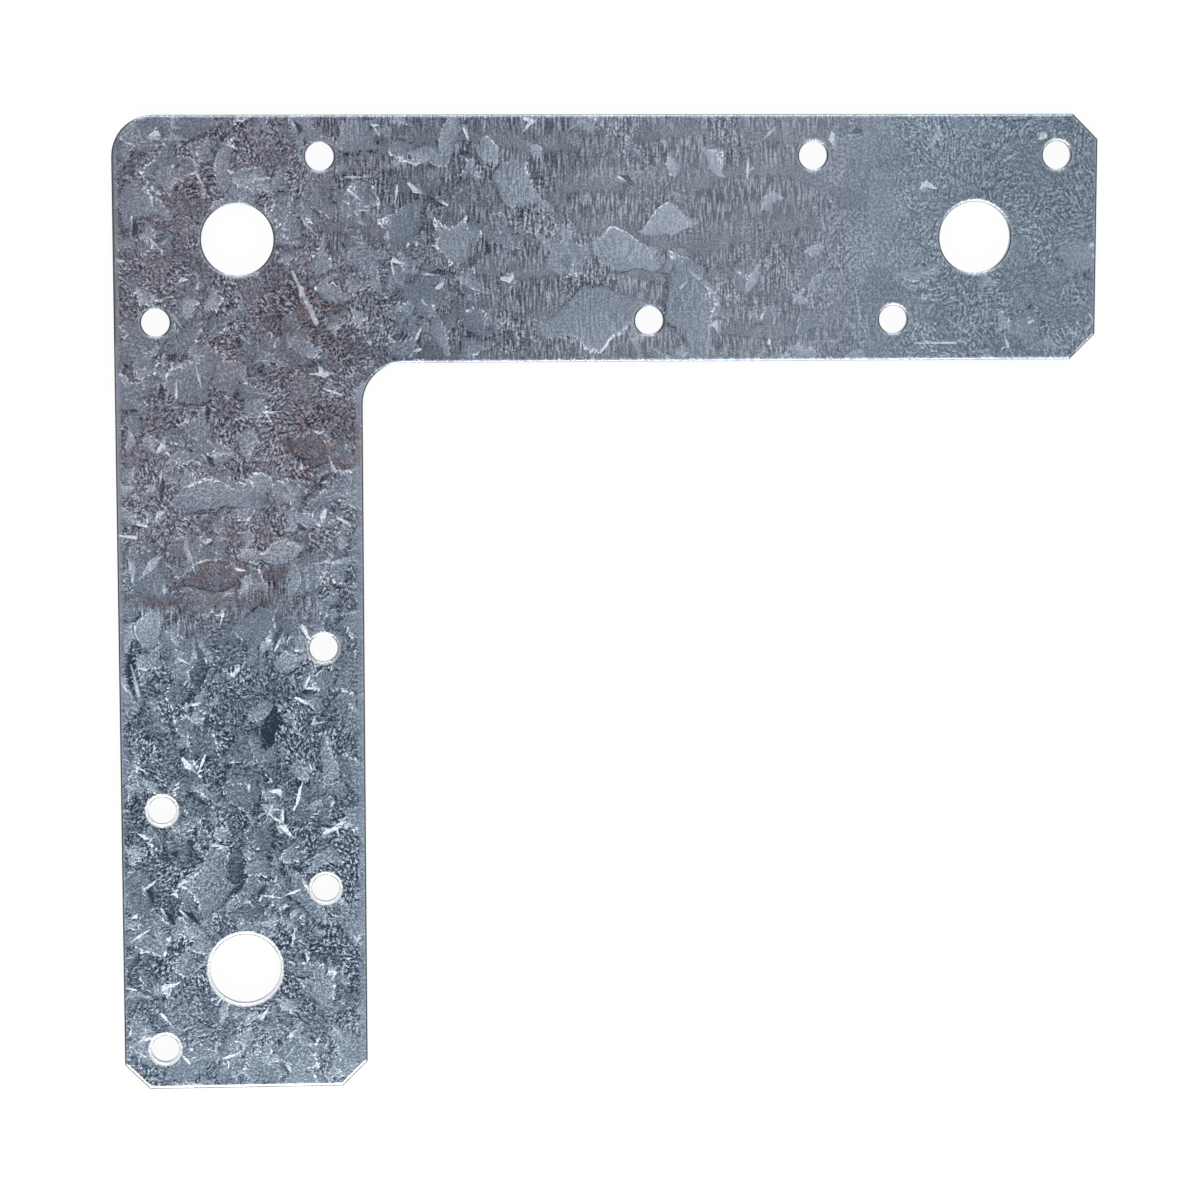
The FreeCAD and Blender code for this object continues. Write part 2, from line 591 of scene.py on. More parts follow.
def new_group(name, inputs, outputs):
    """An empty shader node group: its bench, its inputs by name and the sockets that take its outputs."""
    tree = bpy.data.node_groups.new(name, "ShaderNodeTree")
    for label, kind in inputs.items():
        tree.interface.new_socket(label, in_out="INPUT", socket_type=f"NodeSocket{kind}")
    for label, kind in outputs.items():
        tree.interface.new_socket(label, in_out="OUTPUT", socket_type=f"NodeSocket{kind}")
    bench = NodeBench(tree)
    taken = bench.node("NodeGroupInput").outputs
    given = bench.node("NodeGroupOutput").inputs
    return bench, taken, given


def torn(bench, sheet):
    """Push a place on the sheet about, so that straight borders come out bent and a little torn."""
    moved = sheet
    for scale, reach in ((0.24, 2.2), (1.3, 0.14)):
        push = bench.vector("SUBTRACT", bench.noise(sheet, scale, 0.0)[1], (0.5, 0.5, 0.5))
        moved = bench.vector("ADD", moved, bench.scaled(push, reach))
    return moved


def grain_group():
    """Dark grains, each with short streaks in a direction of its own."""
    inputs = {"Sheet": "Vector", "Torn": "Vector", "Size": "Float", "Upright": "Float"}
    outputs = {"Tone": "Float", "Strokes": "Float", "Rough": "Float"}
    bench, taken, given = new_group("Zinc Grains", inputs, outputs)
    per_mm = bench.math("DIVIDE", 1.0, taken["Size"])
    tone, lay, rough = bench.parts(bench.cells(taken["Torn"], per_mm)["Color"])
    angle = bench.mix(taken["Upright"], bench.times(lay, pi), 0.0)
    lengthwise = bench.mix(taken["Upright"], 1.0, 0.36)
    stretch = bench.node("ShaderNodeCombineXYZ", {"X": 2.7, "Y": lengthwise}).outputs[0]
    streaks = bench.vector("MULTIPLY", bench.turned(taken["Sheet"], angle), stretch)
    bench.feed(given["Tone"], tone)
    bench.feed(given["Strokes"], bench.hardened(bench.noise(streaks, 1.0, 2.0, 0.65)[0], 0.09))
    bench.feed(given["Rough"], bench.ramp(rough, 0.15, 0.6, 0.6, 1.1))
    return bench.tree


def comb_group():
    """Rows of upright strokes, each row hanging below a smooth level band."""
    inputs = {"Sheet": "Vector", "Pitch": "Float"}
    bench, taken, given = new_group("Zinc Combs", inputs, {"Strokes": "Float", "Band": "Float"})
    upright = bench.vector("MULTIPLY", taken["Sheet"], (2.9, 0.38, 1.0))
    fine = bench.noise(upright, 1.0, 1.0, 0.6)[0]
    wander = bench.noise(taken["Sheet"], 0.05, 0.0)[0]
    level = bench.math("DIVIDE", bench.parts(taken["Sheet"])[1], taken["Pitch"])
    row = bench.math("FRACT", bench.plus(level, bench.times(wander, 1.3), bench.times(fine, 0.35)))
    strength = bench.times(bench.ramp(row, 0.0, 0.55, 0.25, 1.05), bench.ramp(row, 0.83, 0.77))
    bench.feed(given["Strokes"], bench.times(bench.hardened(fine, 0.08), strength))
    bench.feed(given["Band"], bench.times(bench.ramp(row, 0.78, 0.84), bench.ramp(row, 1.0, 0.97)))
    return bench.tree


def cell_leaf(bench, taken):
    """A place as seen from the leaf of its cell: turned with the leaf, with the leaf's chances."""
    place = bench.vector("ADD", taken["Sheet"], bench.scaled(LAYER_SHIFT, taken["Seed"]))
    per_mm = bench.math("DIVIDE", 1.0, taken["Size"])
    cell = bench.cells(place, per_mm)
    chance, tone, way = bench.parts(cell["Color"])
    away = bench.scaled(bench.vector("SUBTRACT", place, cell["Position"]), per_mm)
    own_turn = bench.times(bench.math("SUBTRACT", way, 0.5), taken["Turn"])
    turned = bench.turned(away, bench.times(bench.plus(own_turn, taken["Lay"]), 2 * pi))
    along, across, _ = bench.parts(bench.vector("DIVIDE", turned, taken["Reach"]))
    picked = bench.math("LESS_THAN", chance, taken["Share"])
    return SimpleNamespace(along=along, across=across, turned=turned, picked=picked, tone=tone, way=way)


def leaf_shape(bench, along, across, point, teeth=None):
    """A leaf's cover, painted shading and rim, broad at its foot and narrow at its tip.

    The shading is painted: lighter towards the tip and towards one side. The rim is a line inside the
    leaf's edge, a painted highlight on its one side and painted shade on the other.
    """
    narrowing = bench.times_plus(along, 0.42, 1.15)
    side = bench.math("ABSOLUTE", bench.times(across, narrowing))
    outward = bench.plus(
        bench.math("POWER", bench.math("ABSOLUTE", along), point),
        bench.math("POWER", side, point),
    )
    if teeth:
        outward = bench.plus(outward, teeth)
    cover = bench.ramp(outward, 1.0, 0.95)
    edge = bench.times(bench.ramp(outward, 0.84, 0.95), cover)
    return SimpleNamespace(
        cover=cover,
        # Painted shading: lighter towards the tip and towards one side
        shade=bench.times_plus(along, 0.35, bench.times(across, 0.5)),
        rim=bench.times(edge, across),
    )


CELL_INPUTS = {
    "Sheet": "Vector",
    "Lay": "Float",
    "Size": "Float",
    "Reach": "Vector",
    "Share": "Float",
    "Turn": "Float",
    "Seed": "Float",
}


def leaf_group():
    """One pointed leaf in each cell, with a turn of its own, that fades towards its foot."""
    inputs = {**CELL_INPUTS, "Barb Count": "Float", "Barb Strength": "Float", "Tooth Depth": "Float"}
    outputs = {"Leaf": "Float", "Tone": "Float", "Painted Rim Light": "Float"}
    bench, taken, given = new_group("Zinc Leaves", inputs, outputs)
    leaf = cell_leaf(bench, taken)
    length, breadth, _ = bench.parts(bench.scaled(leaf.turned, taken["Size"]))
    breadth = bench.math("ABSOLUTE", breadth)
    steps = bench.math("DIVIDE", bench.plus(length, bench.times(breadth, -TOOTH_LEAN)), TOOTH_PITCH)
    teeth = bench.times(bench.math("SUBTRACT", bench.math("FRACT", steps), 0.5), taken["Tooth Depth"])
    shape = leaf_shape(bench, leaf.along, leaf.across, LEAF_POINT, teeth)

    waves = bench.plus(bench.times(leaf.across, taken["Barb Count"]), bench.times(leaf.along, 3.0))
    barbs = bench.times(bench.math("SINE", waves), bench.ramp(leaf.along, -0.4, 0.4))
    barbs = bench.times(barbs, taken["Barb Strength"])
    spine = bench.times(bench.ramp(breadth, 0.22, 0.06), bench.ramp(leaf.along, -0.3, 0.3))
    spine = bench.times(spine, bench.ramp(leaf.way, 0.5, 0.7), 0.8)
    tip = bench.ramp(leaf.along, 0.4, 0.85)
    fade = bench.ramp(leaf.along, -0.8, 0.0, 0.35, 1.0)
    bench.feed(given["Leaf"], bench.times(shape.cover, fade, leaf.picked))
    # The leaf's tone takes in its painted shading
    bench.feed(given["Tone"], bench.plus(leaf.tone, barbs, shape.shade, spine, tip))
    bench.feed(given["Painted Rim Light"], bench.times(shape.rim, leaf.picked))
    return bench.tree


def sliver_group():
    """One straight bright sliver in each cell, in line with its neighbours."""
    bench, taken, given = new_group("Zinc Slivers", CELL_INPUTS, {"Sliver": "Float", "Tone": "Float"})
    leaf = cell_leaf(bench, taken)
    outward = bench.plus(
        bench.math("POWER", bench.math("ABSOLUTE", leaf.along), LEAF_POINT),
        bench.math("POWER", bench.math("ABSOLUTE", leaf.across), LEAF_POINT),
    )
    bench.feed(given["Sliver"], bench.times(bench.ramp(outward, 1.0, 0.9), leaf.picked))
    bench.feed(given["Tone"], leaf.tone)
    return bench.tree


def large_leaf_group():
    """One leaf at a place of its own, whose outline shifts a little with the tone below it.

    Along and Across point along and across the leaf, and measure 1 at its edge. Taking in the tone below
    chains the leaves one after another, which keeps the material within the renderer's stack.
    """
    inputs = {
        "Sheet": "Vector",
        "Below": "Float",
        "Middle": "Vector",
        "Along": "Vector",
        "Across": "Vector",
        "Point": "Float",
    }
    outputs = {"Leaf": "Float", "Shade": "Float", "Painted Rim Light": "Float"}
    bench, taken, given = new_group("Large Leaf", inputs, outputs)
    shift = bench.scaled((LEAF_SHIFT, LEAF_SHIFT, 0.0), taken["Below"])
    away = bench.vector("SUBTRACT", bench.vector("ADD", taken["Sheet"], shift), taken["Middle"])
    along = bench.vector("DOT_PRODUCT", away, taken["Along"])
    across = bench.vector("DOT_PRODUCT", away, taken["Across"])
    shape = leaf_shape(bench, along, across, taken["Point"])
    bench.feed(given["Leaf"], shape.cover)
    # Painted shading across the leaf, and a painted highlight and shade along its rim
    bench.feed(given["Shade"], shape.shade)
    bench.feed(given["Painted Rim Light"], shape.rim)
    return bench.tree


def scratch_group():
    """One straight mark on the sheet, which widens from Start to End."""
    inputs = {"Sheet": "Vector", "Start": "Vector", "End": "Vector", "Width": "Float"}
    bench, taken, given = new_group("Scratch", inputs, {"Mark": "Float"})
    run = bench.vector("SUBTRACT", taken["End"], taken["Start"])
    reach = bench.vector("SUBTRACT", taken["Sheet"], taken["Start"])
    share = bench.math(
        "DIVIDE",
        bench.vector("DOT_PRODUCT", reach, run),
        bench.vector("DOT_PRODUCT", run, run),
        clamp=True,
    )
    off = bench.vector("LENGTH", bench.vector("SUBTRACT", reach, bench.scaled(run, share)))
    half = bench.times(taken["Width"], bench.ramp(share, 0.0, 1.0, 0.3, 0.6))
    bench.feed(given["Mark"], bench.ramp(off, bench.times(half, 1.6), bench.times(half, 0.7)))
    return bench.tree


def patch_group():
    """A soft round patch on the sheet."""
    inputs = {"Sheet": "Vector", "Middle": "Vector", "Half Width": "Vector"}
    bench, taken, given = new_group("Soft Patch", inputs, {"Mask": "Float"})
    reach = bench.vector("SUBTRACT", taken["Sheet"], taken["Middle"])
    share = bench.vector("LENGTH", bench.vector("DIVIDE", reach, taken["Half Width"]))
    bench.feed(given["Mask"], bench.ramp(share, 1.25, 0.6))
    return bench.tree


def flat(point):
    """A place on the sheet as a vector in its plane."""
    return (*point, 0.0)


def opaque(colour):
    """A colour with its alpha."""
    return (*colour, 1.0)


def strongest(bench, masks):
    """The strongest of several masks."""
    total = masks[0]
    for mask in masks[1:]:
        total = bench.math("MAXIMUM", total, mask)
    return total


def sheet_places(bench):
    """Where a point lies: on the sheet in mm, on which face, and how the surface leans there.

    The back face gets a stretch of spangle of its own.
    """
    coordinates = bench.node("ShaderNodeTexCoord").outputs
    x, y, _ = bench.parts(bench.scaled(coordinates["Object"], 1 / MM))
    lean_x, lean_y, facing = bench.parts(coordinates["Normal"])
    plan = bench.node("ShaderNodeCombineXYZ", {"X": x, "Y": y}).outputs[0]
    back = bench.math("LESS_THAN", facing, -0.5)
    return SimpleNamespace(
        x=x,
        y=y,
        plan=plan,
        sheet=bench.vector("ADD", plan, bench.scaled(BACK_SHIFT, back)),
        front=bench.math("SUBTRACT", 1.0, back),
        facing=facing,
        lean_x=lean_x,
        lean_y=lean_y,
    )


def soft_steps(bench, where, steps):
    """The values of several soft steps at a place."""
    return [bench.ramp(getattr(where, step.leg), *step.span, *step.values) for step in steps]


def sheet_zones(bench, where):
    """Where the spangle is stronger, calmer, lighter, leafier or combed upright."""

    def values(steps):
        return soft_steps(bench, where, steps)

    lower_leg = bench.ramp(where.y, *LOWER_LEG)
    beside_bolt = bench.times(*values(BESIDE_BOLT))
    x_leg = bench.math("MAXIMUM", bench.ramp(where.x, *X_LEG), beside_bolt)
    level_row = bench.times(*values(LEVEL_ROW))
    patchy = bench.ramp(bench.noise(where.sheet, 0.09, 0.0)[0], 0.38, 0.55)
    calm_end = bench.ramp(where.x, *CALM_X_END)
    outer_band = bench.times(*values(OUTER_BAND))
    inner_band = bench.times(*values(INNER_BAND))
    return SimpleNamespace(
        contrast=bench.plus(1.0, *values(CONTRAST)),
        lightness=bench.plus(MIDDLE_TONE, *values(LIGHTNESS)),
        upright=bench.times(x_leg, calm_end),
        combed=bench.times(bench.plus(x_leg, level_row), calm_end, patchy),
        leafy=bench.times(bench.mix(beside_bolt, 1.0, 0.45), *values(LEAFY)),
        lively=bench.plus(*values(LIVELY)),
        lower_leg=lower_leg,
        edge_band=bench.math("MAXIMUM", outer_band, inner_band),
        warm=bench.times(bench.plus(*values(WARM_ALONG_X)), bench.ramp(where.y, *WARM_UPPER_LEG)),
    )


def zinc_ground(bench, zinc, where, zones, ragged):
    """The sheet between the leaves: its tone, its texture, and the strokes and grit that make it."""
    grit_share = 0.8
    texture_under_combs = 0.35
    band_texture = 0.15
    bright_gain = 0.35
    values = {"Sheet": where.sheet, "Torn": ragged, "Size": zinc.grain_size, "Upright": zones.upright}
    grains = bench.group(grain_group(), values)
    combs = bench.group(comb_group(), {"Sheet": where.sheet, "Pitch": zinc.row_pitch})
    strokes = grains["Strokes"]
    grit = bench.hardened(bench.noise(where.sheet, 2.2, 1.0, 0.7)[0], 0.10)
    texture = bench.times(bench.plus(strokes, bench.times(grit, grit_share)), grains["Rough"])
    combed = bench.plus(combs["Strokes"], bench.times(texture, texture_under_combs))
    combed = bench.mix(combs["Band"], combed, band_texture)
    texture = bench.mix(zones.combed, texture, combed)
    texture = bench.plus(texture, bench.times(bench.math("MAXIMUM", texture, 0.0), bright_gain))
    tone = bench.plus(bench.times(grains["Tone"], GRAIN_SPREAD), GROUND_TONE)
    tone = bench.plus(tone, bench.times(texture, TEXTURE_SPREAD))
    return SimpleNamespace(tone=tone, texture=texture, strokes=strokes, grit=grit)


def spangle(bench, zinc, where, zones):
    """Tone of the zinc, from 0 to 1, with how far leaves cover it, its strokes and its grit."""
    ragged = torn(bench, where.sheet)
    ground = zinc_ground(bench, zinc, where, zones, ragged)
    face = SimpleNamespace(tone=ground.tone, cover=0.0)
    # How strong the leaves' painted rim highlight and shade are, broken up by the grit
    rim_strength = bench.mix(zones.lower_leg, 0.50, 0.56)
    rim_break = bench.times(bench.ramp(ground.grit, -0.6, 0.6, 0.2, 1.25), rim_strength)
    graze = bench.times(ground.texture, GRAZE_SPREAD)

    def lay_leaf(cover, leaf_tone, rim=None, tinted=False):
        face.tone = bench.mix(cover, face.tone, bench.plus(leaf_tone, graze))
        # The rim lays a painted highlight on one side of a leaf and painted shade on the other
        if rim:
            face.tone = bench.times_plus(rim, rim_break, face.tone)
        if tinted:
            face.cover = bench.mix(cover, face.cover, 0.0)
        else:
            face.cover = bench.math("MAXIMUM", cover, face.cover)

    def cell_values(layer, seed, share):
        return {
            "Lay": lay,
            "Size": layer.size,
            "Reach": (*layer.reach, 1.0),
            "Share": bench.times(share, layer.share),
            "Turn": layer.turn,
            "Seed": seed,
        }

    # Leaves that lie near each other share one of a few directions
    lay = bench.math("SNAP", bench.times(bench.noise(where.sheet, 0.06, 0.0)[0], 2.0), 0.19)
    leaves = leaf_group()
    layers = (*BROAD_LEAVES, SLASHES)
    for seed, layer in enumerate(layers, 1):
        slashed = layer is SLASHES
        values = {
            **cell_values(layer, seed, zones.lively if slashed else zones.leafy),
            "Sheet": where.sheet if slashed else ragged,
            "Barb Count": layer.barbs[0],
            "Barb Strength": layer.barbs[1],
            "Tooth Depth": layer.teeth,
        }
        leaf = bench.group(leaves, values)
        lay_leaf(leaf["Leaf"], bench.mix(leaf["Tone"], *layer.tones), leaf["Painted Rim Light"])

    large_leaf = large_leaf_group()
    for leaf in LARGE_LEAVES.values():
        turn = radians(leaf.turn)
        values = {
            "Sheet": ragged,
            "Below": face.tone,
            "Middle": flat(place + LEAF_SHIFT * UNMOVED_TONE for place in leaf.middle),
            "Along": Vector((cos(turn), sin(turn), 0)) / leaf.reach[0],
            "Across": Vector((-sin(turn), cos(turn), 0)) / leaf.reach[1],
            "Point": leaf.point,
        }
        made = bench.group(large_leaf, values)
        leaf_tone = bench.times_plus(made["Shade"], LARGE_LEAF_SPREAD, leaf.tone)
        lay_leaf(made["Leaf"], leaf_tone, made["Painted Rim Light"], tinted=leaf.tone < DARK_LEAF)

    values = {**cell_values(SLIVERS, len(layers) + 1, zones.lively), "Sheet": where.sheet}
    sliver = bench.group(sliver_group(), values)
    lay_leaf(sliver["Sliver"], bench.mix(sliver["Tone"], *SLIVERS.tones))

    # One smooth level band runs across the y leg
    _, height, _ = bench.parts(ragged)
    band_place = SimpleNamespace(x=where.x, y=height)
    level_band = bench.times(where.front, *soft_steps(bench, band_place, LEVEL_BAND))
    tone = bench.mix(level_band, face.tone, bench.plus(LEVEL_BAND_TONE, graze))
    cover = bench.mix(level_band, face.cover, 0.0)

    specks = bench.hardened(bench.noise(where.sheet, 3.3, 0.0)[0], 0.15)
    tone = bench.plus(tone, bench.times(specks, SPECK_SPREAD))
    tone = bench.times(bench.math("SUBTRACT", tone, STILL_TONE), zones.contrast)
    tone = bench.plus(tone, zones.lightness)
    edge_band = bench.times(zones.edge_band, where.front, EDGE_BAND_COVER)
    tone = bench.mix(edge_band, tone, EDGE_BAND_TONE)
    return SimpleNamespace(tone=tone, cover=cover, strokes=ground.strokes, grit=ground.grit)


def handling_marks(bench, where):
    """Scratches and nicks, on the front face alone."""
    scratch = scratch_group()
    marks = []
    for start, end, width, strength in SCRATCHES.values():
        values = {"Sheet": where.plan, "Start": flat(start), "End": flat(end), "Width": width}
        marks.append(bench.times(bench.group(scratch, values)["Mark"], strength))
    worn = bench.ramp(bench.noise(where.sheet, 0.9, 0.0)[0], 0.25, 0.5, 0.7, 1.0)
    return bench.times(strongest(bench, marks), where.front, worn)


def brown_tints(bench, where, cover):
    """Brown patches between the leaves, on the front face alone."""
    patch = patch_group()
    patches = []
    for middle, half_width in TINTS.values():
        values = {"Sheet": where.plan, "Middle": flat(middle), "Half Width": (*half_width, 1.0)}
        patches.append(bench.group(patch, values)["Mask"])
    broken = bench.ramp(bench.noise(where.sheet, 0.45, 1.0, 0.65)[0], 0.38, 0.54)
    bare = bench.plus(1.0, bench.times(cover, -0.6))
    return bench.times(strongest(bench, patches), where.front, broken, bare)


def zinc_colour(bench, zinc, tone):
    """The colour of the zinc at a tone."""
    ramp = bench.node("ShaderNodeValToRGB", {"Fac": tone})
    stops = (
        (0.22, zinc.dark_colour),
        (0.49, zinc.middle_colour),
        (0.67, zinc.pale_colour),
        (0.9, zinc.bright_colour),
    )
    elements = ramp.color_ramp.elements
    while len(elements) < len(stops):
        elements.new(1.0)
    for element, (position, colour) in zip(elements, stops):
        element.position = position
        element.color = opaque(colour)
    return ramp.outputs["Color"]


def edge_masks(bench, where, zones):
    """Where the rolled rims, their brink and the parts of the walls are, and where the rims carry painted
    light.

    Most rims are pale. In the upper part they carry painted shade where they lean away from the light,
    and in the lower leg, at the end of the y leg and round the far holes they carry a painted highlight.
    The brinks carry a dark line of painted shade where the rims meet the walls. The walls of the holes
    are thinly coated, and painted paler round the lower and far holes as painted highlight.
    """
    far_highlight = 0.8
    thin_coat = 0.3
    highlight_coat = 0.6
    facing = where.facing
    inside_y_leg = bench.ramp(bench.math("ABSOLUTE", where.x), *INSIDE_LEG)
    inside_x_leg = bench.ramp(bench.math("ABSOLUTE", where.y), *INSIDE_LEG)
    lower_holes = bench.times(zones.lower_leg, inside_y_leg)
    far_holes = bench.times(bench.ramp(where.x, *HIGHLIT_X_LEG), inside_x_leg)
    top_side = bench.ramp(where.lean_y, *LEANS_AWAY)
    outer_side = bench.ramp(where.lean_x, *LEANS_AWAY)
    y_end = bench.ramp(where.y, *HIGHLIT_Y_END)
    # Painted highlight on the rims round the lower holes, at the end of the y leg and on the far holes'
    # top rims
    rim_painted_highlight = strongest(bench, [lower_holes, y_end, bench.times(far_holes, top_side, far_highlight)])
    away = bench.math("MAXIMUM", top_side, outer_side)
    # Painted shade lines on the rims that lean sideways, and next to the painted highlight at the ends
    painted_shade_side_brink = bench.times(
        bench.ramp(facing, *SIDE_BRINK),
        bench.ramp(bench.math("ABSOLUTE", where.lean_x), *LEANS_SIDEWAYS),
        bench.math("SUBTRACT", 1.0, rim_painted_highlight),
    )
    painted_shade_end_brink = bench.times(bench.ramp(facing, *END_BRINK), top_side, rim_painted_highlight)
    wall_and_painted_shade = strongest(bench, [painted_shade_side_brink, painted_shade_end_brink, bench.ramp(facing, *BRINK)])
    y_leg_holes = bench.times(inside_y_leg, *soft_steps(bench, where, HOLES_OF_Y_LEG))
    x_leg_holes = bench.times(inside_x_leg, *soft_steps(bench, where, HOLES_OF_X_LEG))
    # The walls of the holes are painted pale: thinly as a coat, and more thickly round the lower and far
    # holes as painted highlight
    highlit_holes = bench.math("MAXIMUM", lower_holes, far_holes)
    coat_and_highlight = bench.plus(thin_coat, bench.times(highlit_holes, highlight_coat))
    return SimpleNamespace(
        roll=bench.times(bench.ramp(facing, *ROLL_STARTS), bench.ramp(facing, *ROLL_ENDS)),
        rim_painted_highlight=rim_painted_highlight,
        rim_painted_shade=bench.times(away, *soft_steps(bench, where, PAINTED_SHADE_RIMS)),
        wall_and_painted_shade=bench.times(wall_and_painted_shade, where.front),
        coat_and_painted_highlight=bench.times(
            bench.math("MAXIMUM", y_leg_holes, x_leg_holes),
            bench.ramp(facing, *WALL_STARTS),
            coat_and_highlight,
        ),
        land=bench.times(bench.ramp(facing, *LAND_STARTS), bench.ramp(facing, *LAND_ENDS)),
    )


def galvanised_sheet(zinc):
    """The finish of the whole strap: spangle on the faces, rolled rims and sheared walls."""
    material = bpy.data.materials.new("galvanised_sheet")
    material.use_nodes = True
    material.node_tree.nodes.clear()
    bench = NodeBench(material.node_tree)
    where = sheet_places(bench)
    zones = sheet_zones(bench, where)
    zinc_face = spangle(bench, zinc, where, zones)
    mark = handling_marks(bench, where)

    tone = bench.mix(mark, zinc_face.tone, SCRATCH_TONE)
    colour = zinc_colour(bench, zinc, tone)
    warm = bench.times(zones.warm, bench.ramp(tone, 0.75, 0.55))
    warm = bench.times(warm, bench.mix(zinc_face.cover, 1.0, 0.5))
    colour = bench.multiplied(warm, colour, zinc.warm_cast)
    colour = bench.multiplied(brown_tints(bench, where, zinc_face.cover), colour, zinc.tint_colour)

    plain_rim = 0.45
    painted_highlight_rim = 0.9
    rim_shade_strength = 0.6
    edges = edge_masks(bench, where, zones)
    # Rims are pale, and take the painted highlight's colour where it lies
    rim_colour = bench.mix_colour(edges.rim_painted_highlight, opaque(zinc.pale_colour), opaque(zinc.painted_highlight_colour))
    rim = bench.times(edges.roll, bench.mix(edges.rim_painted_highlight, plain_rim, painted_highlight_rim))
    colour = bench.mix_colour(rim, colour, rim_colour)
    # Painted shade on the rims that lean away from the light
    painted_rim_shade = bench.times(edges.roll, edges.rim_painted_shade, rim_shade_strength)
    colour = bench.mix_colour(painted_rim_shade, colour, opaque(zinc.cut_steel_and_shade_colour))
    streaked_land = bench.times(edges.land, bench.times_plus(zinc_face.strokes, 0.3, 0.7))
    wall_colour = bench.mix_colour(streaked_land, opaque(zinc.cut_steel_and_shade_colour), opaque(zinc.land_colour))
    # Hole walls: a thin pale coat, and a painted highlight round the lower and far holes
    wall_colour = bench.mix_colour(edges.coat_and_painted_highlight, wall_colour, opaque(zinc.pale_colour))
    # The walls take their own colours, and the outer part of the rims a dark line of painted shade
    colour = bench.mix_colour(edges.wall_and_painted_shade, colour, wall_colour)

    face_rough = bench.mix(zinc_face.cover, GROUND_ROUGH, LEAF_ROUGH)
    face_rough = bench.plus(face_rough, bench.times(zinc_face.strokes, 0.05))
    wall_rough = bench.mix(edges.land, TORN_ROUGH, LAND_ROUGH)
    rough = bench.mix(edges.wall_and_painted_shade, bench.mix(edges.roll, face_rough, RIM_ROUGH), wall_rough)
    relief = {"Height": zinc_face.grit, "Distance": zinc.relief, "Strength": 0.6}
    bump = bench.node("ShaderNodeBump", relief)

    values = {
        "Base Color": colour,
        "Metallic": 1.0,
        "Roughness": rough,
        "Normal": bump.outputs["Normal"],
    }
    shader = bench.node("ShaderNodeBsdfPrincipled", values)
    bench.node("ShaderNodeOutputMaterial", {"Surface": shader.outputs["BSDF"]})
    return material


def white_floor(colour):
    """A matt floor that shows white to the camera and still takes the strap's shadow."""
    material = bpy.data.materials.new("white_floor")
    material.use_nodes = True
    material.node_tree.nodes.clear()
    bench = NodeBench(material.node_tree)
    rays = bench.node("ShaderNodeLightPath").outputs
    seen = strongest(bench, [rays["Is Camera Ray"], rays["Is Glossy Ray"], rays["Is Transmission Ray"]])
    matt = bench.node("ShaderNodeBsdfDiffuse", {"Color": opaque(colour)})
    white = bench.node("ShaderNodeEmission", {"Color": opaque(WHITE), "Strength": 1.0})
    share = bench.math("MULTIPLY", seen, FLOOR_WHITENESS)
    mixed = bench.node("ShaderNodeMixShader", {0: share, 1: matt.outputs[0], 2: white.outputs[0]})
    bench.node("ShaderNodeOutputMaterial", {"Surface": mixed.outputs[0]})
    return material


class LSTRAP_OT_finish_sheet(bpy.types.Operator):
    """Give the strap its galvanised finish"""

    bl_idname = "lstrap.finish_sheet"
    bl_label = "Finish Sheet"
    bl_options = {"REGISTER", "UNDO"}

    def execute(self, context):
        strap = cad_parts[STRAP_NODE]
        strap.material_slots[0].material = galvanised_sheet(context.scene.lstrap_zinc)
        return {"FINISHED"}


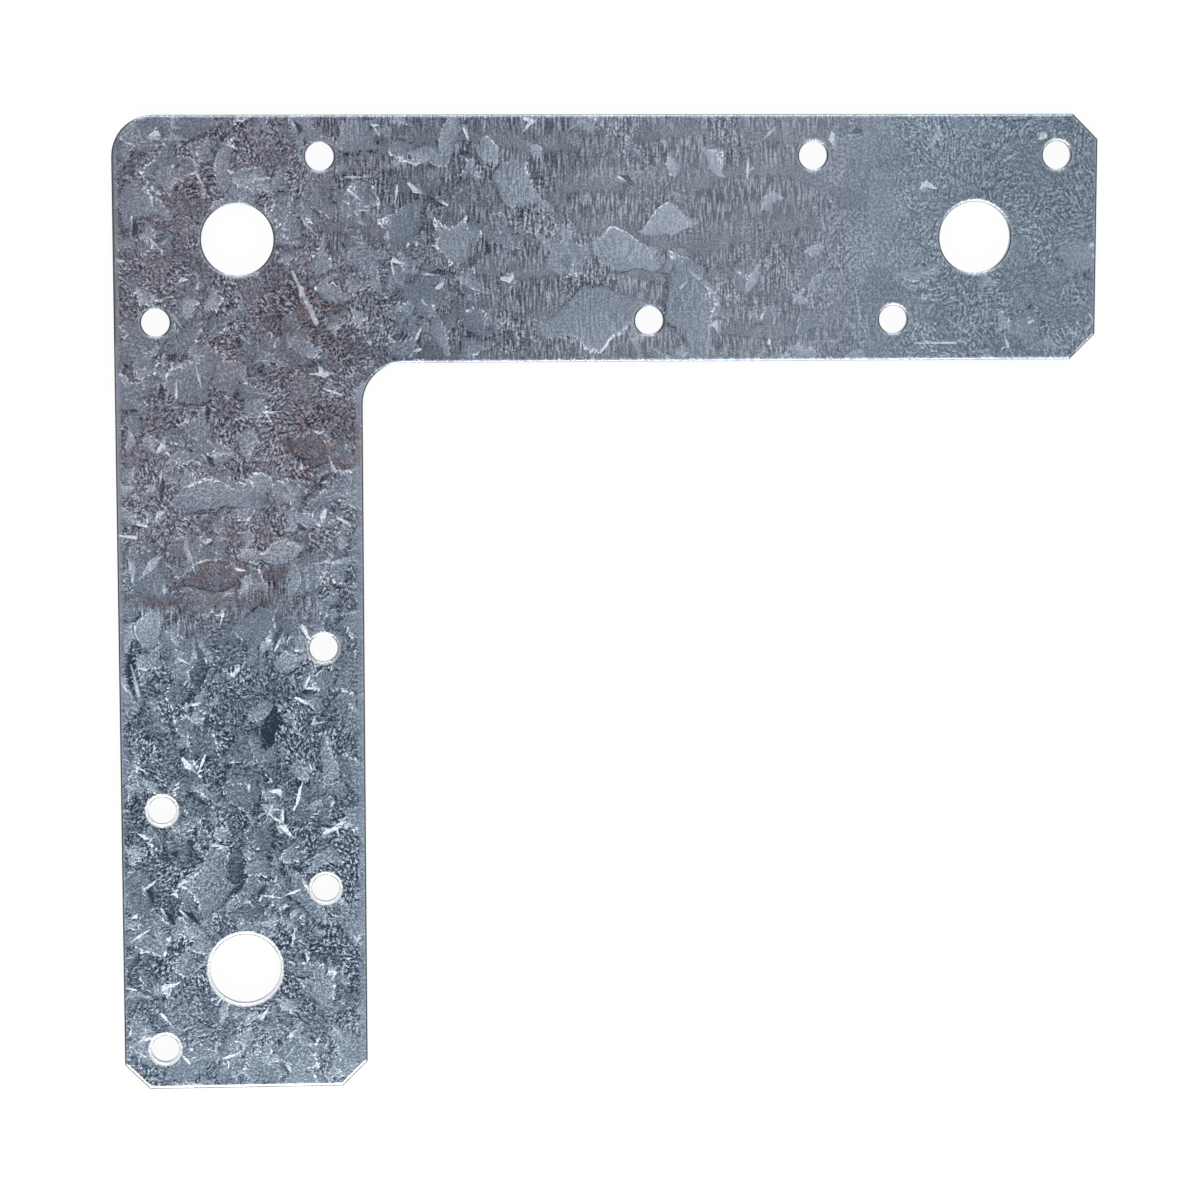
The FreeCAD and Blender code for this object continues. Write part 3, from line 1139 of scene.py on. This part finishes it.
class LSTRAP_OT_set_stage(bpy.types.Operator):
    """Set the floor, the lights and the camera round the strap"""

    bl_idname = "lstrap.set_stage"
    bl_label = "Set Stage"
    bl_options = {"REGISTER", "UNDO"}

    def execute(self, context):
        scene = context.scene
        stage = scene.lstrap_stage
        scene.view_settings.view_transform = "Standard"
        self.lay_floor(scene, stage)
        self.light_world(scene, stage)
        self.hang_lights(scene, stage)
        self.place_camera(scene, stage)
        return {"FINISHED"}

    def lay_floor(self, scene, stage):
        """A wide floor just under the strap's back face."""
        reach = STRAP_LENGTH * FLOOR_REACH
        gap = 0.02 * MM
        mesh = bpy.data.meshes.new("floor")
        corners = [(-reach, -reach, 0), (reach, -reach, 0), (reach, reach, 0), (-reach, reach, 0)]
        mesh.from_pydata(corners, [], [(0, 1, 2, 3)])
        mesh.materials.append(white_floor(stage.floor_colour))
        floor = bpy.data.objects.new("floor", mesh)
        centre = (CAD_BOX[0] + CAD_BOX[1]) / 2
        floor.location = (centre.x, centre.y, CAD_BOX[0].z - gap)
        scene.collection.objects.link(floor)

    def light_world(self, scene, stage):
        """Even white light from all round."""
        world = bpy.data.worlds.new("studio")
        world.use_nodes = True
        world.node_tree.nodes.clear()
        bench = NodeBench(world.node_tree)
        values = {"Color": opaque(WHITE), "Strength": stage.sky_light}
        light = bench.node("ShaderNodeBackground", values)
        bench.node("ShaderNodeOutputWorld", {"Surface": light.outputs[0]})
        scene.world = world

    def hang_lights(self, scene, stage):
        """Two long soft lights, beyond the top and the bottom of the picture."""
        centre = (CAD_BOX[0] + CAD_BOX[1]) / 2
        lights = (("top_light", 1, stage.top_light), ("bottom_light", -1, stage.bottom_light))
        for name, side, power in lights:
            lamp = bpy.data.lights.new(name, "AREA")
            lamp.shape = "RECTANGLE"
            lamp.size = STRAP_LENGTH * LIGHT_LENGTH
            lamp.size_y = STRAP_LENGTH * LIGHT_WIDTH
            lamp.energy = power
            holder = bpy.data.objects.new(name, lamp)
            away = Vector((0, side * LIGHT_DISTANCE, LIGHT_HEIGHT))
            holder.location = centre + away * STRAP_LENGTH
            holder.rotation_euler = (centre - holder.location).to_track_quat("-Z", "Y").to_euler()
            scene.collection.objects.link(holder)

    def place_camera(self, scene, stage):
        """A camera above the strap with +Y upwards in the picture."""
        camera = bpy.data.cameras.new("camera")
        camera.lens = stage.camera_lens
        holder = bpy.data.objects.new("camera", camera)
        place = Vector(stage.camera_place)
        backward = (place - Vector(stage.camera_aim)).normalized()
        right = Vector((0, 1, 0)).cross(backward).normalized()
        upward = backward.cross(right)
        turn = Matrix((right, upward, backward)).transposed()
        holder.matrix_world = Matrix.Translation(place) @ turn.to_4x4()
        scene.collection.objects.link(holder)
        scene.camera = holder


class LSTRAP_PT_looks(bpy.types.Panel):
    """Sizes, colours and steps of the strap's looks"""

    bl_idname = "LSTRAP_PT_looks"
    bl_label = "L Strap"
    bl_space_type = "VIEW_3D"
    bl_region_type = "UI"
    bl_category = "L Strap"

    def draw(self, context):
        for operator, settings in (
            (LSTRAP_OT_finish_sheet, context.scene.lstrap_zinc),
            (LSTRAP_OT_set_stage, context.scene.lstrap_stage),
        ):
            box = self.layout.box()
            for name in settings.__annotations__:
                box.prop(settings, name)
            box.operator(operator.bl_idname)


CLASSES = (
    LSTRAP_PG_zinc,
    LSTRAP_PG_stage,
    LSTRAP_OT_finish_sheet,
    LSTRAP_OT_set_stage,
    LSTRAP_PT_looks,
)


def register():
    for cls in CLASSES:
        bpy.utils.register_class(cls)
    bpy.types.Scene.lstrap_zinc = PointerProperty(type=LSTRAP_PG_zinc)
    bpy.types.Scene.lstrap_stage = PointerProperty(type=LSTRAP_PG_stage)


def unregister():
    del bpy.types.Scene.lstrap_stage
    del bpy.types.Scene.lstrap_zinc
    for cls in reversed(CLASSES):
        bpy.utils.unregister_class(cls)


def main():
    """Register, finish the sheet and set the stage."""
    register()
    bpy.ops.lstrap.finish_sheet()
    bpy.ops.lstrap.set_stage()


if __name__ == "__main__":
    main()
